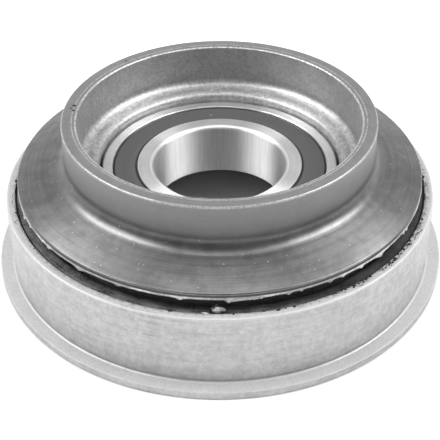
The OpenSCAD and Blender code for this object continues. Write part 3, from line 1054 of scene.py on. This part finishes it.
def seal_outline(s):
    """Outline of the upper seal: a flat washer with a thin lip at the inner race."""
    face = s.top - s.seal_drop
    lip = s.inner_shoulder + s.lip_play
    rim = s.seal_seat - s.seal_fit
    return [
        (lip, face - s.lip_step - s.lip_thickness, s.fine_edge / 2),
        (lip + 2 * s.lip_width, face - s.seal_thickness, s.fine_edge),
        (rim, face - s.seal_thickness, s.fine_edge),
        (rim, face - s.rim_step, s.fine_edge / 2),
        (rim - s.rim_groove, face - s.rim_step, s.fine_edge / 2),
        (rim - s.rim_groove, face, s.fine_edge),
        (lip + s.lip_width, face, s.fine_edge),
        (lip + s.lip_width * 0.8, face - s.lip_step, s.fine_edge / 2),
        (lip, face - s.lip_step, s.fine_edge / 2),
    ]


# Operators

class BEARING_OT_outer_ring(bpy.types.Operator):
    """Builds the flanged outer ring"""

    bl_idname = "bearing.outer_ring"
    bl_label = "Outer ring"

    def execute(self, context):
        sizes = context.scene.bearing_ring
        finish = plated_finish(sizes, context.scene.bearing_finishes.plate)
        ring = turned(ring_outline(sizes), RING_STEPS)
        piece("ring_plated", ring, finish, "housing", "plated_steel", "outer_ring")
        return {"FINISHED"}


class BEARING_OT_rubber_ring(bpy.types.Operator):
    """Builds the folded rubber ring"""

    bl_idname = "bearing.rubber_ring"
    bl_label = "Rubber ring"

    def execute(self, context):
        scene = context.scene
        sizes = (scene.bearing_rubber, scene.bearing_ring, scene.bearing_carrier)
        finish = rubber_finish(*sizes, scene.bearing_finishes.rubber)
        folds = turned(rubber_outline(*sizes), RUBBER_STEPS, RUBBER_ROUND_STEPS)
        piece("rubber_folds", folds, finish, "housing", "mount_rubber", "rubber_ring")
        return {"FINISHED"}


class BEARING_OT_carrier(bpy.types.Operator):
    """Builds the turned bearing carrier"""

    bl_idname = "bearing.carrier"
    bl_label = "Bearing carrier"

    def execute(self, context):
        sizes = context.scene.bearing_carrier
        colours = context.scene.bearing_finishes
        finish = turned_finish(sizes, colours.turned, colours.rim, colours.well)
        carrier = turned(carrier_outline(sizes), CARRIER_STEPS, CARRIER_ROUND_STEPS)
        piece("carrier_turned", carrier, finish, "housing", "turned_steel", "bearing_carrier")
        return {"FINISHED"}


class BEARING_OT_skirt_flash(bpy.types.Operator):
    """Builds the pale flash that hangs from the skirt, its beads and the lump in the gap"""

    bl_idname = "bearing.skirt_flash"
    bl_label = "Skirt flash"

    def execute(self, context):
        scene = context.scene
        carrier = scene.bearing_carrier
        rubber = scene.bearing_rubber
        chance = random.Random(SKIRT_SEED)
        bm = turned(skirt_flash_outline(carrier, rubber), FLASH_STEPS, FLASH_ROUND_STEPS)
        middle = carrier.skirt_low + rubber.flash_height / 2
        for vert in bm.verts:
            angle = angle_of(vert)
            if vert.co.z < middle:
                teeth = swell(angle, SKIRT_TEETH) * MM * (0.7 + 0.5 * torn(angle, 2.0))
                drop = teeth + 0.10 * MM * torn(angle, 4.0)
                shift(vert, drop * 0.3, -drop)
            else:
                shift(vert, 0.0, around(angle, UPPER_WAVES, 9.0) * 0.05 * MM)
        radius = carrier.skirt_radius + 0.12 * MM
        height = carrier.skirt_low - 0.15 * MM
        for degrees in SKIRT_BEADS:
            size = [chance.uniform(*BEAD_SIZE) * MM for _ in range(3)]
            crumb(bm, chance, degrees, radius, height, size)
        for degrees, out, up, halves, steps in GAP_LUMPS:
            size = [half * MM for half in halves]
            crumb(bm, chance, degrees, carrier.skirt_radius + out * MM, up * MM, size, steps)
        finish = flash_finish(carrier, scene.bearing_finishes.flash)
        piece("skirt_flash", outward(bm), finish, "housing", "mount_rubber")
        return {"FINISHED"}


class BEARING_OT_ring_flash(bpy.types.Operator):
    """Builds the torn rubber flash on the ring's inner edge, with its crumbs"""

    bl_idname = "bearing.ring_flash"
    bl_label = "Ring flash"

    def execute(self, context):
        scene = context.scene
        ring = scene.bearing_ring
        rubber = scene.bearing_rubber
        chance = random.Random(RING_SEED)
        inner = ring.radius - ring.wall
        bm = turned(ring_flash_outline(ring, rubber), FLASH_STEPS, FLASH_ROUND_STEPS)
        for vert in bm.verts:
            if vert.co.xy.length < inner:
                continue
            angle = angle_of(vert)
            side = 0.5 if vert.co.z > ring.height else -0.5
            tears = swell(angle, RING_TEARS) * MM * (0.35 + 0.65 * torn(angle, 8.0))
            reach = rubber.flash_reach * torn(angle, 6.0) + tears
            radius = inner + 0.03 * MM + reach
            height = ring_surface(ring, radius) + side * rubber.flash_thickness
            shift(vert, radius - vert.co.xy.length, height - vert.co.z)
        places = list(RING_CRUMBS)
        for turns, reaches, count in SCATTERED_CRUMBS:
            places += [(chance.uniform(*turns), chance.uniform(*reaches)) for _ in range(count)]
        for degrees, reach in places:
            size = rubber.crumb * chance.uniform(0.5, 1.3)
            halves = (size * chance.uniform(0.8, 1.2), size * chance.uniform(1.0, 2.0), size * 0.6)
            radius = inner + reach * MM
            crumb(bm, chance, degrees, radius, ring_surface(ring, radius) + size * 0.3, halves)
        finish = bpy.data.materials["mount_rubber"]
        piece("ring_flash", outward(bm), finish, "housing", "mount_rubber")
        return {"FINISHED"}


class BEARING_OT_races(bpy.types.Operator):
    """Builds the outer and the inner race"""

    bl_idname = "bearing.races"
    bl_label = "Races"

    def execute(self, context):
        sizes = context.scene.bearing_races
        finish = ground_finish(sizes, context.scene.bearing_finishes.ground)
        outer = turned(outer_race_outline(sizes), OUTER_RACE_STEPS)
        inner = turned(inner_race_outline(sizes), INNER_RACE_STEPS)
        piece("outer_race_ground", outer, finish, "housing", "ground_steel", "outer_race")
        piece("inner_race_ground", inner, finish, "inner_race", "ground_steel", "inner_race")
        return {"FINISHED"}


class BEARING_OT_seals(bpy.types.Operator):
    """Builds the two seals"""

    bl_idname = "bearing.seals"
    bl_label = "Seals"

    def execute(self, context):
        sizes = context.scene.bearing_races
        finish = seal_finish(sizes, context.scene.bearing_finishes.seal)
        upper = turned(seal_outline(sizes), SEAL_STEPS)
        lower = upper.copy()
        turn_over = Matrix.Translation((0, 0, sizes.top + sizes.foot)) @ Matrix.Rotation(math.pi, 4, "X")
        bmesh.ops.transform(lower, matrix=turn_over, verts=lower.verts)
        piece("seal_upper_moulded", upper, finish, "housing", "seal_rubber", "seal_upper")
        piece("seal_lower_moulded", lower, finish, "housing", "seal_rubber", "seal_lower")
        return {"FINISHED"}


class BEARING_OT_rolling_parts(bpy.types.Operator):
    """Finishes the balls, the cage and its rivets, which keep their CAD shape"""

    bl_idname = "bearing.rolling_parts"
    bl_label = "Balls and cage"

    def execute(self, context):
        colours = context.scene.bearing_finishes
        finishes = {"ball": ball_finish(colours.ball), "cage": cage_finish(colours.cage)}
        for name, node in frame["nodes"].items():
            finish = finishes.get(name.split("_")[0])
            if finish:
                node.data.materials.clear()
                node.data.materials.append(finish)
        return {"FINISHED"}


# Stage, in metres

# How far the floor reaches, the share of its colour that it adds away from the part, and from where it does
FLOOR_REACH = 3.0
FLOOR_LIFT = 0.3
FLOOR_CLEAR = 1.6

# The two large softboxes: how far back they stand, the direction of the right one's width, and their size
BOX_BACK = 0.02
BOX_ALONG = (0.11, 0.41, -0.16)
BOX_SIZE = (0.46, 0.18)

# The smaller pairs: name, place of the right one, direction of the width, size
SMALL_BOXES = (
    ("low", (0.52, -0.03, 0.46), (0, 1, 0), (0.34, 0.14)),
    ("high", (0.28, -0.09, 0.74), (1, 0, 0), (0.18, 0.24)),
    ("rear", (0.35, 0.36, 0.63), (1, 0, 0), (0.26, 0.26)),
)

# The one overhead
TOP_PLACE = (0.0, -0.04, 0.80)
TOP_ALONG = (1, 0, 0)
TOP_SIZE = (0.38, 0.42)

# The camera's sensor in millimetres, and the nearest that it sees
SENSOR = 36.0
NEAREST = 0.01

WHITE = (1.0, 1.0, 1.0, 1.0)


class BEARING_OT_stage(bpy.types.Operator):
    """Sets up the floor, the lights and the camera"""

    bl_idname = "bearing.stage"
    bl_label = "Stage"

    def execute(self, context):
        scene = context.scene
        scene.view_settings.view_transform = "Standard"
        self.floor(scene)
        self.lights(scene)
        self.world(scene)
        self.camera(scene)
        return {"FINISHED"}

    def floor(self, scene):
        """A pale floor that keeps the part's shadow and is open from below."""
        bm = bmesh.new()
        bmesh.ops.create_grid(bm, x_segments=1, y_segments=1, size=FLOOR_REACH)
        mesh = bpy.data.meshes.new("floor")
        bm.to_mesh(mesh)
        bm.free()
        material = bpy.data.materials.new("studio_floor")
        tree = Tree(material)
        pale = scene.bearing_finishes.floor
        place = tree.node("TexCoord", output="Object")
        away = tree.node("VectorMath", {"operation": "LENGTH"}, {0: place}, "Value")
        flange = scene.bearing_ring.flange_radius
        lifted = tree.seen() * away.above(flange, flange * FLOOR_CLEAR) * FLOOR_LIFT
        glow = tree.blend(lifted, grey(0.0), pale)
        lit = tree.node("BsdfPrincipled", None, {
            "Base Color": (*pale, 1.0), "Roughness": 1.0, "Specular IOR Level": 0.0,
            "Emission Color": glow, "Emission Strength": 1.0})
        below = tree.node("NewGeometry", output="Backfacing")
        passed = tree.node("LightPath", output="Transparent Depth")
        under = tree.math("MINIMUM", below + passed, 1.0)
        clear = tree.node("BsdfTransparent")
        surface = tree.node("MixShader", None, {0: under, 1: lit, 2: clear})
        tree.node("OutputMaterial", None, {"Surface": surface})
        mesh.materials.append(material)
        made = bpy.data.objects.new("floor", mesh)
        scene.collection.objects.link(made)

    def lights(self, scene):
        """Large softboxes at both sides, smaller ones low, high and behind, and one overhead."""
        s = scene.bearing_stage
        for side, word in ((-1, "left"), (1, "right")):
            place = (side * s.box_out, BOX_BACK, s.box_up)
            along = (side * BOX_ALONG[0], BOX_ALONG[1], BOX_ALONG[2])
            self.softbox(scene, "softbox_" + word, place, along, BOX_SIZE, s.box_power)
            for name, (out, back, up), along, sizes in SMALL_BOXES:
                watts = getattr(s, name + "_power")
                self.softbox(scene, name + "_" + word, (side * out, back, up), along, sizes, watts)
        self.softbox(scene, "softbox_top", TOP_PLACE, TOP_ALONG, TOP_SIZE, s.top_power)

    def softbox(self, scene, name, place, along, sizes, watts):
        """An area light that points at the part, with its width along a direction."""
        lamp = bpy.data.lights.new(name, "AREA")
        lamp.shape = "RECTANGLE"
        lamp.size, lamp.size_y = sizes
        lamp.energy = watts
        made = bpy.data.objects.new(name, lamp)
        made.location = place
        depth = Vector(place).normalized()
        along = Vector(along)
        width = (along - along.project(depth)).normalized()
        made.rotation_euler = Matrix((width, depth.cross(width), depth)).transposed().to_euler()
        scene.collection.objects.link(made)

    def world(self, scene):
        """White to the camera and, dimmer behind the camera, to reflections; an even glow to the rest."""
        s = scene.bearing_stage
        scene.world = bpy.data.worlds.new("studio")
        tree = Tree(scene.world)
        direction = tree.node("TexCoord", output="Generated")
        depth = tree.node("SeparateXYZ", None, {0: direction}, 1)
        height = tree.node("SeparateXYZ", None, {0: direction}, 2)
        camera = tree.node("LightPath", output="Is Camera Ray")
        behind = depth.above(-0.25, 0.55)
        room = s.front + behind * (s.back - s.front) + behind * height.below(0.1, 0.55) * s.horizon
        strength = camera + (1 - camera) * room
        shown = tree.node("Background", None, {"Color": WHITE, "Strength": strength})
        glow = tree.node("Background", None, {"Color": WHITE, "Strength": s.ambient})
        surface = tree.node("MixShader", None, {0: tree.seen(), 1: glow, 2: shown})
        tree.node("OutputWorld", None, {"Surface": surface})

    def camera(self, scene):
        """The photograph's viewpoint."""
        s = scene.bearing_stage
        data = bpy.data.cameras.new("camera")
        data.sensor_width = SENSOR
        data.lens = data.sensor_width * s.focal_pixels / s.image_size
        data.clip_start = NEAREST
        made = bpy.data.objects.new("camera", data)
        scene.collection.objects.link(made)
        made.matrix_world = (Matrix.Translation((0, -s.camera_back, s.camera_up))
                             @ Matrix.Rotation(math.pi / 2 - s.camera_pitch, 4, "X")
                             @ Matrix.Rotation(s.camera_roll, 4, "Z"))
        scene.camera = made


OPERATORS = (
    BEARING_OT_outer_ring,
    BEARING_OT_rubber_ring,
    BEARING_OT_carrier,
    BEARING_OT_skirt_flash,
    BEARING_OT_ring_flash,
    BEARING_OT_races,
    BEARING_OT_seals,
    BEARING_OT_rolling_parts,
    BEARING_OT_stage,
)


class VIEW3D_PT_bearing(bpy.types.Panel):
    """Lists the pieces of the bearing"""

    bl_label = "Centre bearing"
    bl_idname = "VIEW3D_PT_bearing"
    bl_space_type = "VIEW_3D"
    bl_region_type = "UI"
    bl_category = "Bearing"

    def draw(self, context):
        for operator in OPERATORS:
            self.layout.operator(operator.bl_idname)


def register():
    """Registers the classes and hangs their settings on the scene."""
    for cls in (*SETTINGS.values(), *OPERATORS, VIEW3D_PT_bearing):
        bpy.utils.register_class(cls)
    for name, cls in SETTINGS.items():
        setattr(bpy.types.Scene, name, PointerProperty(type=cls))


def unregister():
    """Takes the settings off the scene and unregisters the classes."""
    for name in SETTINGS:
        delattr(bpy.types.Scene, name)
    for cls in (VIEW3D_PT_bearing, *reversed(OPERATORS), *reversed(SETTINGS.values())):
        bpy.utils.unregister_class(cls)


def main():
    """Builds every piece and the stage."""
    register()
    for operator in OPERATORS:
        group, name = operator.bl_idname.split(".")
        getattr(getattr(bpy.ops, group), name)()


if __name__ == "__main__":
    main()
